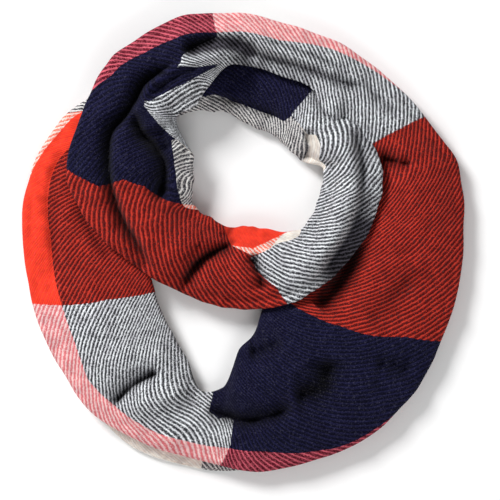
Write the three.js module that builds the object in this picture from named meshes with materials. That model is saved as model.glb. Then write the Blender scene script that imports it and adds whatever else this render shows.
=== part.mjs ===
// Infinity scarf: one loop of brushed check twill, wound twice into a ring and laid flat.
// Millimetres, +Z up. The origin is at the middle of the footprint, on the surface it lies on.
// Each stretch of the loop that shows is two solids: the cloth on top, a wall that turns under
// at both edges, and the folded layers inside it, one rounded solid with layered edges.
import * as THREE from "three";

// Driving sizes
const clothThickness = 3; // brushed twill, nap included
const partingGap = 0.3; // between neighbouring pieces
const innerTurnOffset = new THREE.Vector2(9, 65); // middle of the second turn, from the first
const edgeRoll = 9; // how far an edge takes to round over
const edgeThickness = 16; // of the topmost fold at an edge
const turnUnder = 12; // cloth turned under past the rounded edge
const thinnestEdge = 9;
const layersBelowEdge = 4; // least height of the folded layers under the top fold
const layerInset = 3; // how far the lower layers stand back from the edge
const layerWaver = 2; // and how much that changes round the ring
const layerGroove = 3; // depth of the groove between two layers
const sectionSpacing = 24; // along the middle of a stretch that lies on the surface
const upperSpacing = 17; // and of one that lies on other stretches
const topPoints = 13; // across the top, between the rounded edges
const groundPoints = 9; // across the underside of a stretch that lies on others
const edgeFooting = 4; // how far past the turned cloth the layers keep the edge's level
const clearance = 1; // above what a stretch lies on
const reach = 15; // how far round a point the ground is felt
const leastCover = 12; // least thickness of a stretch above what it lies on

// The winding, a row for each section. Turn is in degrees, anticlockwise from +X, and passes
// 360 twice. Slide says how far the section's centre has moved to the middle of the second
// turn. Outer and inner are the radii of the two edges, and the tops are heights at the outer
// edge, at the crown and at the inner edge.
const windingColumns = ["turn", "slide", "outer", "inner", "topOuter", "crown", "topInner"];
const winding = [
  [118, 1, 132, 79, 21, 26, 21],
  [132, 0.75, 158, 98, 21, 26, 21],
  [141, 0.4, 198, 128, 21, 27, 22],
  [148, 0.15, 219, 145, 22, 29, 23],
  [160, 0, 226, 145, 25, 34, 25],
  [170, 0, 225, 130, 26, 38, 27],
  [182, 0, 221, 110, 26, 39, 28],
  [196, 0, 220, 97, 26, 39, 29],
  [214, 0, 222, 103, 26, 39, 30],
  [230, 0, 229, 112, 26, 38, 28],
  [244, 0, 232, 128, 26, 35, 25],
  [255, 0, 230, 153, 24, 29, 21],
  [262, 0, 230, 145, 24, 31, 22],
  [268, 0, 230, 104, 26, 37, 26],
  [276, 0, 229, 92, 26, 40, 28],
  [285, 0, 228, 70, 26, 41, 26],
  [300, 0, 231, 53, 26, 41, 24],
  [320, 0, 227, 62, 26, 40, 24],
  [340, 0, 221, 80, 26, 40, 26],
  [360, 0, 222, 106, 26, 40, 28],
  [374, 0, 228, 128, 26, 40, 28],
  [387, 0, 226, 150, 28, 41, 30],
  [400, 0, 223, 165, 28, 41, 30],
  [418, 0, 224, 167, 28, 43, 34],
  [437, 0, 226, 173, 31, 50, 44],
  [452, 0, 233, 180, 35, 57, 50],
  [463, 0.05, 234, 170, 38, 62, 54],
  [471, 0.13, 228, 146, 40, 64, 56],
  [480, 0.28, 217, 127, 41, 64, 56],
  [490, 0.47, 208, 110, 42, 64, 54],
  [500, 0.65, 196, 92, 43, 64, 52],
  [511, 0.8, 187, 69, 45, 63, 48],
  [524, 0.92, 184, 58, 47, 61, 42],
  [537, 1, 186, 57, 48, 59, 37],
  [549, 1, 175, 60, 48, 57, 33],
  [560, 1, 163, 64, 48, 56, 30],
  [572, 1, 149, 59, 47, 54, 28],
  [584, 1, 140, 55, 44, 51, 26],
  [600, 1, 133, 53, 34, 45, 26],
  [624, 1, 130, 46, 29, 44, 26],
  [648, 1, 129, 51, 37, 49, 28],
  [662, 1, 127, 61, 45, 54, 28],
  [680, 1, 126, 70, 48, 56, 28],
  [700, 1, 128, 69, 48, 56, 28],
  [722, 1, 132, 71, 48, 55, 28],
  [738, 1, 125, 76, 45, 52, 28],
  [750, 1, 115, 71, 38, 47, 27],
  [757, 1, 111, 60, 30, 44, 26],
  [764, 1, 116, 49, 26, 38, 25],
  [784, 1, 124, 50, 24, 31, 24],
  [802, 1, 127, 52, 22, 28, 22],
  [820, 1, 130, 61, 21, 26, 21],
  [838, 1, 132, 79, 21, 26, 21],
].map((row) => Object.fromEntries(windingColumns.map((column, i) => [column, row[i]])));

// The stretches, in the order in which they lie, each with those that it can lie on.
const stretches = [
  { name: "inner_back", from: 757, to: 838, over: [], colour: 0x1d1e3f },
  { name: "outer_left", from: 118, to: 232, over: [], colour: 0xb8362b },
  { name: "outer_front", from: 232, to: 304, over: [], colour: 0x1b1b3a },
  { name: "outer_right", from: 304, to: 396, over: [], colour: 0xa52c22 },
  { name: "outer_back", from: 396, to: 478, over: ["inner_back", "outer_left"], colour: 0xaeb4bd },
  { name: "inner_left", from: 478, to: 572, over: ["inner_back", "outer_left"], colour: 0x1d1e3f },
  {
    name: "inner_front",
    from: 572,
    to: 652,
    over: ["outer_left", "outer_front", "outer_right"],
    colour: 0xb03228,
  },
  {
    name: "inner_right",
    from: 652,
    to: 757,
    over: ["outer_front", "outer_right"],
    colour: 0xa9afb9,
  },
];

// The largest folds, a row for each: where its line starts, bends and ends in plan, the half
// width of the trough and its depth. A ridge has a depth below nought.
const folds = [
  { on: "outer_left", line: [-131, -158, -108, -141, -82, -129], width: 9, depth: 10 },
  { on: "outer_left", line: [-100, -168, -70, -150, -45, -152], width: 12, depth: -4 },
  { on: "outer_left", line: [-186, 40, -192, 5, -178, -40], width: 12, depth: 4 },
  { on: "outer_front", line: [-34, -160, 0, -172, 58, -192], width: 11, depth: 9 },
  { on: "outer_front", line: [76, -112, 90, -125, 88, -150], width: 12, depth: 8 },
  { on: "outer_front", line: [-8, -112, 20, -98, 45, -102], width: 10, depth: 7 },
  { on: "outer_right", line: [182, -25, 175, -55, 147, -82], width: 14, depth: 5 },
  { on: "outer_right", line: [102, -122, 130, -120, 160, -126], width: 12, depth: 4 },
  { on: "outer_right", line: [132, 92, 150, 84, 172, 82], width: 7, depth: 9 },
  { on: "outer_back", line: [-58, 196, 5, 202, 117, 160], width: 8, depth: 11 },
  { on: "outer_back", line: [129, 165, 150, 145, 158, 128], width: 8, depth: 5 },
  { on: "outer_back", line: [-55, 197, -100, 175, -118, 140], width: 9, depth: 12 },
  { on: "inner_left", line: [-80, 178, -118, 140, -133, 92], width: 9, depth: 13 },
  { on: "inner_left", line: [-133, 100, -134, 40, -90, -32], width: 9, depth: 12 },
  { on: "inner_left", line: [-96, 146, -112, 110, -86, 48], width: 8, depth: 11 },
  { on: "inner_front", line: [-14, 4, -34, -14, -58, -42], width: 9, depth: 12 },
  { on: "inner_front", line: [-16, 3, 8, -8, 18, -36], width: 7, depth: 7 },
  { on: "inner_right", line: [110, 118, 128, 60, 108, 10], width: 9, depth: 9 },
  { on: "inner_right", line: [112, 22, 100, -8, 68, -32], width: 9, depth: 7 },
  { on: "inner_back", line: [-38, 148, 5, 138, 48, 120], width: 8, depth: 8 },
];

const lerp = THREE.MathUtils.lerp;

// A smooth curve through one column of the winding, with no overshoot between its rows.
function columnAt(column, turn) {
  const last = winding.length - 2;
  let k = 0;
  while (k < last && turn > winding[k + 1].turn) k += 1;
  const slopeOf = (i) =>
    (winding[i + 1][column] - winding[i][column]) / (winding[i + 1].turn - winding[i].turn);
  const tangentAt = (i) => {
    if (i === 0 || i === winding.length - 1) return 0;
    const [before, after] = [slopeOf(i - 1), slopeOf(i)];
    return before * after <= 0 ? 0 : (2 * before * after) / (before + after);
  };
  const [start, end] = [winding[k], winding[k + 1]];
  const span = end.turn - start.turn;
  const t = (turn - start.turn) / span;
  const rise = end[column] - start[column];
  const [m0, m1] = [tangentAt(k) * span, tangentAt(k + 1) * span];
  const cubic = m0 + m1 - 2 * rise;
  return start[column] + t * (m0 + t * (3 * rise - 2 * m0 - m1 + t * cubic));
}

// A section of the winding: a vertical plane through its centre. Across is measured from the
// outer edge inwards, and shift moves the plane along the cloth, to leave the gap at a seam.
function sectionAt(turn, shift) {
  const at = Object.fromEntries(windingColumns.map((column) => [column, columnAt(column, turn)]));
  const angle = THREE.MathUtils.degToRad(turn);
  const [cos, sin] = [Math.cos(angle), Math.sin(angle)];
  const centreX = innerTurnOffset.x * at.slide - sin * shift;
  const centreY = innerTurnOffset.y * at.slide + cos * shift;
  return {
    turn,
    width: at.outer - at.inner,
    topOuter: at.topOuter,
    crown: at.crown,
    topInner: at.topInner,
    plan: (across) => [centreX + (at.outer - across) * cos, centreY + (at.outer - across) * sin],
  };
}

// How far the folds of a stretch lower its top at a point of the plan.
function foldDepth(stretchFolds, x, y) {
  let depth = 0;
  for (const { curve, width, depth: most } of stretchFolds) {
    let nearest = Infinity;
    let along = 0;
    curve.forEach((point, i) => {
      const distance = Math.hypot(point.x - x, point.y - y);
      if (distance < nearest) [nearest, along] = [distance, i / (curve.length - 1)];
    });
    const fade = Math.sin(Math.PI * Math.min(1, Math.max(0, along * 0.9 + 0.05))) ** 0.6;
    depth += most * fade * Math.exp(-((nearest / width) ** 2));
  }
  return depth;
}

function foldsOn(name) {
  return folds
    .filter((fold) => fold.on === name)
    .map(({ line: [x0, y0, x1, y1, x2, y2], width, depth }) => ({
      width,
      depth,
      curve: new THREE.QuadraticBezierCurve(
        new THREE.Vector2(x0, y0),
        new THREE.Vector2(x1, y1),
        new THREE.Vector2(x2, y2),
      ).getPoints(24),
    }));
}

// The height of what is already laid, at a point of the plan.
function heightOn(triangles, x, y) {
  let height = 0;
  for (const [a, b, c] of triangles) {
    if (x < a.lowX || x > a.highX || y < a.lowY || y > a.highY) continue;
    const area = (b.x - a.x) * (c.y - a.y) - (c.x - a.x) * (b.y - a.y);
    if (Math.abs(area) < 1e-9) continue;
    const u = ((x - a.x) * (c.y - a.y) - (c.x - a.x) * (y - a.y)) / area;
    const v = ((b.x - a.x) * (y - a.y) - (x - a.x) * (b.y - a.y)) / area;
    if (u < 0 || v < 0 || u + v > 1) continue;
    height = Math.max(height, a.z + u * (b.z - a.z) + v * (c.z - a.z));
  }
  return height;
}

// The highest ground within reach of a point, or nought on the bare surface.
function groundAt(triangles, x, y) {
  let height = heightOn(triangles, x, y);
  for (const radius of [reach / 3, (2 * reach) / 3, reach]) {
    for (let step = 0; step < 8; step += 1) {
      const angle = (step * Math.PI) / 4;
      const [dx, dy] = [radius * Math.cos(angle), radius * Math.sin(angle)];
      height = Math.max(height, heightOn(triangles, x + dx, y + dy));
    }
  }
  return height > 0 ? height + clearance : 0;
}

// Everything that both solids of a stretch need at one section.
function shapeOf(section, stretchFolds, ground) {
  const { width, topOuter, crown, topInner, plan } = section;
  const groundHere = (across) => (ground.length ? groundAt(ground, ...plan(across)) : 0);
  const footing = edgeRoll + turnUnder + edgeFooting;
  const edgeGround = (fromEdge) =>
    Math.max(...[0, edgeRoll, edgeRoll + turnUnder, footing].map(fromEdge).map(groundHere));
  const outerBase = edgeGround((across) => across);
  const innerBase = edgeGround((across) => width - across);
  const leastTop = (across) =>
    Math.max(
      groundHere(across) + leastCover,
      outerBase + leastCover - Math.max(0, across - footing),
      innerBase + leastCover - Math.max(0, width - across - footing),
    );
  const top = (across) => {
    const v = THREE.MathUtils.clamp((across - edgeRoll) / (width - 2 * edgeRoll), 0, 1);
    const rise = crown - (topOuter + topInner) / 2;
    const smooth = lerp(topOuter, topInner, v) + rise * Math.sin(Math.PI * v) ** 0.8;
    return Math.max(smooth - foldDepth(stretchFolds, ...plan(across)), leastTop(across));
  };
  const edge = (across, base) => {
    const height = Math.max(top(across), base + thinnestEdge + layersBelowEdge);
    const thickness = THREE.MathUtils.clamp(
      height - base - layersBelowEdge,
      thinnestEdge,
      edgeThickness,
    );
    return { base, height, thickness };
  };
  return {
    ...section,
    top,
    groundHere,
    outerEdge: edge(edgeRoll, outerBase),
    innerEdge: edge(width - edgeRoll, innerBase),
  };
}

// Points of a rounded edge from under it to its top, at a given depth below the cloth's face.
function roundedEdge(edge, depth, angles) {
  const middle = edge.height - edge.thickness / 2;
  const across = edgeRoll - depth;
  const up = edge.thickness / 2 - depth;
  return angles.map((degrees) => {
    const angle = THREE.MathUtils.degToRad(degrees);
    return [edgeRoll - across * Math.sin(angle), middle - up * Math.cos(angle)];
  });
}

const acrossTop = (width) =>
  Array.from(
    { length: topPoints },
    (_, i) => edgeRoll + ((width - 2 * edgeRoll) * (i + 1)) / (topPoints + 1),
  );

const mirrored = (points, width) => points.map(([across, z]) => [width - across, z]).reverse();

// The cloth's section: out from under one edge, over the top, and under the other edge.
function clothSection(shape) {
  const face = (depth) => {
    const side = (edge) => {
      const curve = roundedEdge(edge, depth, [0, 45, 90, 135, 180]);
      return [[edgeRoll + turnUnder, curve[0][1]], ...curve];
    };
    return [
      ...side(shape.outerEdge),
      ...acrossTop(shape.width).map((across) => [across, shape.top(across) - depth]),
      ...mirrored(side(shape.innerEdge), shape.width),
    ];
  };
  return [...face(0), ...face(clothThickness).reverse()];
}

// The folded layers' section: flat below, two rounded layers at each edge, a slot for the cloth
// that is turned under, and the cloth's own form above.
function layersSection(shape, waver) {
  const inside = clothThickness + partingGap;
  const side = (edge) => {
    const slotBottom = edge.height - edge.thickness - partingGap;
    const slotEnd = edgeRoll + turnUnder + partingGap;
    const layer = (slotBottom - edge.base) / 2;
    const front = layerInset + waver;
    const groove = Math.min(layerGroove, layer / 2);
    const lip = (bottom) => [
      [front + groove, bottom],
      [front, bottom + layer * 0.3],
      [front, bottom + layer * 0.7],
    ];
    return [
      ...lip(edge.base),
      ...lip(edge.base + layer),
      [edgeRoll, slotBottom],
      [slotEnd, slotBottom],
      [slotEnd, edge.height - edge.thickness + inside],
      ...roundedEdge(edge, inside, [0, 90, 180]),
    ];
  };
  const overTop = acrossTop(shape.width).map((across) => [across, shape.top(across) - inside]);
  const points = [
    ...side(shape.outerEdge),
    ...overTop,
    ...mirrored(side(shape.innerEdge), shape.width),
  ];
  if (!shape.liesOn) return points;
  const first = edgeRoll + turnUnder + edgeFooting;
  const step = (shape.width - 2 * first) / (groundPoints + 1);
  const underside = Array.from({ length: groundPoints }, (_, i) => {
    const across = shape.width - first - step * (i + 1);
    return [across, shape.groundHere(across)];
  });
  return [
    ...points,
    [shape.width - first, shape.innerEdge.base],
    ...underside,
    [first, shape.outerEdge.base],
  ];
}

// A closed solid through a row of sections with the same number of points, listed clockwise.
function loft(sections) {
  const count = sections[0].points.length;
  const positions = sections.flatMap(({ plan, points }) =>
    points.flatMap(([across, z]) => [...plan(across), z]),
  );
  const index = [];
  for (let k = 0; k < sections.length - 1; k += 1) {
    for (let i = 0; i < count; i += 1) {
      const next = (i + 1) % count;
      const [a, b] = [k * count + i, k * count + next];
      const [c, d] = [a + count, b + count];
      // The same diagonal in faces that lie one above the other, whichever way they are listed.
      const [here, there] = [sections[k].points[i], sections[k].points[next]];
      const inwards = (there[0] - here[0] || there[1] - here[1]) > 0;
      index.push(...(inwards ? [a, d, b, a, c, d] : [a, c, b, b, c, d]));
    }
  }
  // A hair's bow upwards keeps every point of a level underside in the end's triangles.
  const endCap = (k) => {
    const { points, width } = sections[k];
    const outline = points.map(
      ([across, z]) => new THREE.Vector2(across, z - 1e-6 * (across - width / 2) ** 2),
    );
    return THREE.ShapeUtils.triangulateShape(outline, []).map((corners) =>
      corners.map((corner) => corner + k * count),
    );
  };
  for (const corners of endCap(0)) index.push(...corners.reverse());
  for (const corners of endCap(sections.length - 1)) index.push(...corners);
  const geometry = new THREE.BufferGeometry();
  geometry.setAttribute("position", new THREE.Float32BufferAttribute(positions, 3));
  geometry.setIndex(index);
  geometry.computeVertexNormals();
  return geometry;
}

// The triangles of a laid cloth that face up, each with its box in plan.
function upperTriangles(geometry) {
  const position = geometry.getAttribute("position");
  const corner = (i) => new THREE.Vector3().fromBufferAttribute(position, i);
  const found = [];
  const index = geometry.index.array;
  for (let i = 0; i < index.length; i += 3) {
    const triangle = [corner(index[i]), corner(index[i + 1]), corner(index[i + 2])];
    const [xs, ys] = [triangle.map((p) => p.x), triangle.map((p) => p.y)];
    Object.assign(triangle[0], {
      lowX: Math.min(...xs),
      highX: Math.max(...xs),
      lowY: Math.min(...ys),
      highY: Math.max(...ys),
    });
    found.push(triangle);
  }
  return found;
}

function clothMaterial(colour) {
  return new THREE.MeshStandardMaterial({ color: colour, roughness: 0.95, metalness: 0 });
}

function buildScarf() {
  const scarf = new THREE.Group();
  const laid = {};
  for (const { name, from, to, over, colour } of stretches) {
    const ground = over.flatMap((other) => laid[other]);
    const stretchFolds = foldsOn(name);
    const middle = sectionAt((from + to) / 2, 0);
    const [x0, y0] = middle.plan(middle.width / 2);
    const [x1, y1] = sectionAt((from + to) / 2 + 1, 0).plan(middle.width / 2);
    const length = Math.hypot(x1 - x0, y1 - y0) * (to - from);
    const steps = Math.round(length / (over.length ? upperSpacing : sectionSpacing));
    const shapes = Array.from({ length: steps + 1 }, (_, k) => {
      const shift = k === 0 ? partingGap / 2 : k === steps ? -partingGap / 2 : 0;
      const section = sectionAt(lerp(from, to, k / steps), shift);
      return { ...shapeOf(section, stretchFolds, ground), liesOn: over.length > 0 };
    });
    const cloth = loft(shapes.map((shape) => ({ ...shape, points: clothSection(shape) })));
    const layers = loft(
      shapes.map((shape) => {
        const waver = layerWaver * Math.sin(THREE.MathUtils.degToRad(shape.turn * 5));
        return { ...shape, points: layersSection(shape, waver) };
      }),
    );
    laid[name] = upperTriangles(cloth);
    for (const [part, geometry] of [
      ["cloth", cloth],
      ["layers", layers],
    ]) {
      const mesh = new THREE.Mesh(geometry, clothMaterial(colour));
      mesh.name = `${name}_${part}`;
      scarf.add(mesh);
    }
  }
  const middle = new THREE.Box3().setFromObject(scarf).getCenter(new THREE.Vector3());
  for (const mesh of scarf.children) mesh.geometry.translate(-middle.x, -middle.y, 0);
  return scarf;
}

export default buildScarf();
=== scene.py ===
import bpy
import math
import numpy as np
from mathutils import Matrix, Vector


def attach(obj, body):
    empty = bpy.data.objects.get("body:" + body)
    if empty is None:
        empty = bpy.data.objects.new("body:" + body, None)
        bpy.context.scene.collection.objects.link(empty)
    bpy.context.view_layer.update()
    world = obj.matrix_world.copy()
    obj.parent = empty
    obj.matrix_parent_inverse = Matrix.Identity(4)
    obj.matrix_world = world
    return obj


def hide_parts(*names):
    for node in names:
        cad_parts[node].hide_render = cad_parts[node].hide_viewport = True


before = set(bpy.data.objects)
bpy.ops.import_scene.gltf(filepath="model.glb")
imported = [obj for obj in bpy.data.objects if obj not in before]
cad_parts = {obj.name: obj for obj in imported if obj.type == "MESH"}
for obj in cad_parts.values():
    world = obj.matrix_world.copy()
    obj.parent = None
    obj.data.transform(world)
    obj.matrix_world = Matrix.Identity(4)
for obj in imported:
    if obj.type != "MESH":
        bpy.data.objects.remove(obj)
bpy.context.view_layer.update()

bpy.ops.object.select_all(action="DESELECT")
mm = 0.001
print("frame loaded")

# The winding, in millimetres as in the part. A row for each section: turn in degrees, how far its
# centre has moved to the second turn's middle, both radii, and the heights at the outer edge,
# at the crown and at the inner edge.
winding = {
    "secondMiddle": (9.0, 65.0),
    "footprintMiddle": (0.529, 1.703),
    "columns": ("turn", "slide", "outer", "inner", "topOuter", "crown", "topInner"),
    "rows": [
        (118, 1, 132, 79, 21, 26, 21), (124, 0.9, 143, 93, 21, 26, 21), (132, 0.75, 158, 109, 21, 26, 21),
        (141, 0.4, 198, 128, 21, 27, 22), (148, 0.15, 219, 145, 22, 29, 23),
        (160, 0, 226, 145, 25, 33, 25), (170, 0, 225, 130, 26, 35, 27), (182, 0, 221, 110, 26, 36, 28),
        (196, 0, 220, 97, 26, 37, 29), (214, 0, 222, 103, 26, 38, 30), (230, 0, 229, 112, 26, 38, 28),
        (244, 0, 232, 128, 26, 35, 25), (255, 0, 230, 153, 24, 29, 21), (262, 0, 230, 145, 24, 31, 22),
        (268, 0, 230, 104, 26, 37, 26), (276, 0, 229, 92, 26, 40, 28), (285, 0, 228, 70, 26, 41, 26),
        (300, 0, 231, 53, 26, 41, 24), (320, 0, 227, 62, 26, 40, 24), (340, 0, 221, 80, 26, 40, 26),
        (360, 0, 222, 106, 26, 40, 28), (374, 0, 228, 128, 26, 40, 28),
        (380, 0, 231.5, 138, 27, 40.5, 29), (387, 0, 227, 150, 28, 41, 30),
        (400, 0, 223, 160, 28, 41, 31), (410, 0, 223, 153, 28, 42, 30), (418, 0, 224, 156, 28, 43, 31),
        (427, 0, 225, 171, 29, 46, 35), (437, 0, 226, 173.5, 31, 50, 42), (452, 0, 233, 180, 35, 57, 50),
        (463, 0.05, 234, 158, 38, 62, 52), (471, 0.13, 228, 137.5, 40, 63, 50),
        (480, 0.28, 217, 131.5, 41, 62, 49), (486, 0.395, 211.5, 118, 42, 62, 48),
        (491, 0.49, 207, 94, 42, 62, 46), (495, 0.565, 202, 80, 43, 62, 44),
        (501, 0.665, 195, 70.5, 44, 63, 42), (511, 0.8, 187, 65, 45, 63, 40),
        (524, 0.92, 184, 60.5, 47, 61, 38), (537, 1, 186, 58.7, 46, 59, 36),
        (549, 1, 175, 60, 45, 57, 33), (560, 1, 163, 63.5, 44, 56, 30), (572, 1, 149, 60.5, 44, 54, 28),
        (584, 1, 140, 55, 42, 51, 26), (600, 1, 133, 53, 34, 45, 26), (624, 1, 130, 46, 29, 44, 26),
        (648, 1, 129, 51, 37, 49, 28), (662, 1, 127, 61, 45, 54, 28), (680, 1, 126, 70, 48, 56, 28),
        (700, 1, 128, 69, 48, 56, 28), (722, 1, 131, 71.5, 48, 55, 28), (729, 1, 129, 73, 47, 54, 27),
        (738, 1, 126, 57, 45, 51, 26), (750, 1, 116, 50.5, 39, 46, 27), (757, 1, 110, 49, 35, 43, 27),
        (766, 1, 110, 48.5, 28, 40, 26), (776, 1, 118, 49, 24, 34, 25), (790, 1, 124, 51, 23, 30, 24),
        (802, 1, 127, 52, 22, 28, 22), (820, 1, 130, 61, 21, 26, 21), (838, 1, 132, 79, 21, 26, 21),
    ],
}

# The stretches as the record names them, each with its end turns
stretches = {
    "outer_left": (118, 232), "outer_front": (232, 304), "outer_right": (304, 396), "outer_back": (396, 478),
    "inner_left": (478, 572), "inner_front": (572, 652), "inner_right": (652, 757), "inner_back": (757, 838),
}

cloth = {
    "roll": 9.0,                # how far an edge takes to round over
    "rollShape": 0.9,
    "rollPoints": 12,
    "edgeThickness": 15.0,
    "thinnestEdge": 7.0,
    "thinnestRoll": 4.2,        # where the edge lies close over other cloth
    "turnUnder": 13.0,
    "tuckPoints": 4,
    "layersBelow": 4.0,
    "edgeClearance": 2,
    "cover": 4.5,               # least height above what lies below
    "leastGround": 1,           # less than this is the floor
    "edgeCover": 3.8,           # how much more at the edges
    "coverFall": 0.8,           # how fast that falls away further in
    "basePoints": 8,            # where an edge feels for what lies below it
    "baseBeyond": 2,            # how far past its fold it does so
    "baseSmoothing": 4.0,       # degrees
    "setBack": 9,               # of the outer edge, where the layers show beyond it
    "sectionStep": 2.2,
    "acrossTop": 58,
    "thickness": 1.6,
    "waver": 1.1,               # of both edges in plan
    "outerEdge": {"stretch": 1.9, "shift": 0, "size": 26, "seed": 5},
    "innerEdge": {"stretch": 1.4, "shift": 40, "size": 20, "seed": 6},
    "crownShape": 0.8,
    "undulations": ((1.6, 46, 2), (0.45, 15, 3)),   # height, size and seed
    "smoothAngle": 65,
}

layers = {
    "thickness": 1.2,
    "seat": 0.7,                # height above what they lie on
    "clearance": 0.4,           # below the top fold's edge
    "belowFold": 3.8,           # below the rest of the top fold
    "lowest": 1.6,
    "threeLipsFrom": 19,        # with less height there are two
    "lipStart": 1.2,
    "lipDepth": 3.4,
    "lipShape": 0.6,
    "setBack": 2.6,             # of the lips, from the top fold's rail
    "waver": 1.3,
    "waverSize": 34,
    "waverPace": (1.7, 60, 90),
    "seed": 11,
    "showAt": 251,              # the turn where they show beyond the top fold
    "showReach": 18,
    "showing": 13,              # how much further out they come there
    "sidePoints": 25,
    "bottomPoints": 46,
    "bottomBlend": 24,
    "tuckedIn": 12,
    # colours: where the top fold's check runs on into them, and how much further along
    "checked": ("outer_left", "outer_front"),
    "fromTopFold": 4,
    "furtherAlong": 22,
    "plainAt": 12.0,
    "noCheck": -50.0,
}

# Cloth coordinates, in millimetres. edgeLine: how far from the outer rail the red warp ends.
# whiteLine: how far from the inner rail the next white warp begins, and whiteWidth its width.
check = {
    "edgeLine": [
        (118, -8), (130, 10), (144, 36), (150, 27), (156, 21), (161, 22), (168, 25), (176, 29), (200, 29),
        (210, 27), (221, 19), (230, 23), (240, 25), (251, 25), (266, 26), (276, 21), (285, 12), (295, 6),
        (306, 3), (313, 0), (330, -8), (360, -14), (390, -8), (403, 0), (417, 6), (426, 9.5), (440, 20),
        (452, 21), (457, 22), (471, 20), (480, 17), (496, 12), (502, 5), (510, -4), (520, -10),
        (700, -12), (757, -12), (838, -8),
    ],
    "whiteLine": [
        (118, 17), (129, 15), (137, -20), (400, -20), (495, -20), (497.5, 22), (502, 28), (506, 26),
        (513, 22), (520, 20), (531, 18), (538, 17), (548, 15), (555, 12), (562, 9), (575, -8), (597, -3),
        (600, 1), (604, 7), (608, 13), (613, 20), (620, 24), (630, 29), (640, 24), (657, 12), (670, 7),
        (680, -5), (724, -5), (731, 4), (739, 15), (747, 25), (755, 29), (759, 23.4), (768, 23.4),
        (770, 24.6), (778.5, 25.8), (781.5, 17), (812, 18), (838, 17),
    ],
    "whiteWidth": [
        (118, 35), (560, 35), (575, 0), (613, 0), (620, 3), (630, 8.5), (650, 10), (661, 11), (670, 10),
        (680, 35), (715, 70), (838, 70),
    ],
    # the red warp's full width, and how much of it shows, less where the edge rolls it under
    "roseFull": 33,
    "roseWidth": [
        (118, 33), (136, 31), (141, 28), (145, 27), (150, 21), (156, 18), (162, 24), (168, 33), (838, 33),
    ],
    # a row for each change of weft: turn at the outer rail, then at the shares across that are named
    "shares": (0, 0.25, 0.44, 0.46, 0.62, 0.63, 0.75, 1),
    "weftTurns": [
        (54, 56, 57.5, 57.7, 59, 59.3, 61, 63),
        (146.5, 142, 141.2, 141.1, 140, 139.8, 139, 138),
        (195.5, 198.5, 200.6, 200.8, 202, 202.4, 204, 208),
        (263, 266.4, 266.8, 266.3, 263, 262, 258.3, 258.5),
        (334.2, 330.3, 324.5, 323.8, 320, 319, 315, 304),
        (395.2, 396, 396.5, 396.6, 397, 397.1, 397.5, 398.3),
        (457.5, 457.3, 457, 496, 498, 498.5, 499, 497),
        (536.5, 542.5, 540.5, 540, 544, 545.5, 553, 563),
        (646, 642.5, 634.5, 633.5, 629, 629.5, 646, 663),
        (775.5, 776.8, 778, 778.1, 779, 762, 750, 741),
        (864, 862, 861.2, 861.1, 860.5, 860.4, 860, 858),
    ],
    "block": 200.0,             # from one change of weft to the next
    # where stretched cloth turns the wales: turns, middle, reach and lean of the place, how much
    # less they run each way, and the middle turn. It fades out over turnedFade degrees, and the
    # wales turn about turnedAbout millimetres from the outer edge.
    "turnedFade": 12,
    "turnedAbout": 80,
    "turned": [
        {"turns": (430, 515), "middle": (-60, 149), "reach": (45, 27), "lean": 12,
         "along": 1, "across": -0.3, "at": 474, "core": 2.5},
        {"turns": (485, 566), "middle": (-60, 80), "reach": (17, 38),
         "along": 0.5, "across": 0, "at": 530, "core": 2.5},
        {"turns": (225, 285), "middle": (-62, -172), "reach": (62, 34),
         "along": 0.7, "across": -0.35, "at": 250},
        {"turns": (185, 262), "middle": (-125, -95), "reach": (48, 52),
         "along": -0.2, "across": 0.15, "at": 212},
    ],
    # where a fold shows cloth from further along: turns, line, how much further, half width
    "tuckEdge": 6,
    "tucks": [
        {"turns": (440, 515), "line": [(-22, 179.5), (-43, 172.5), (-57, 169), (-74, 163), (-94, 153)],
         "further": 100, "widths": (1.2, 4, 9, 10, 9)},
        {"turns": (440, 500), "line": [(-68, 184), (-78, 175), (-93, 160)],
         "further": 100, "widths": (8, 9, 9)},
    ],
}

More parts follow.
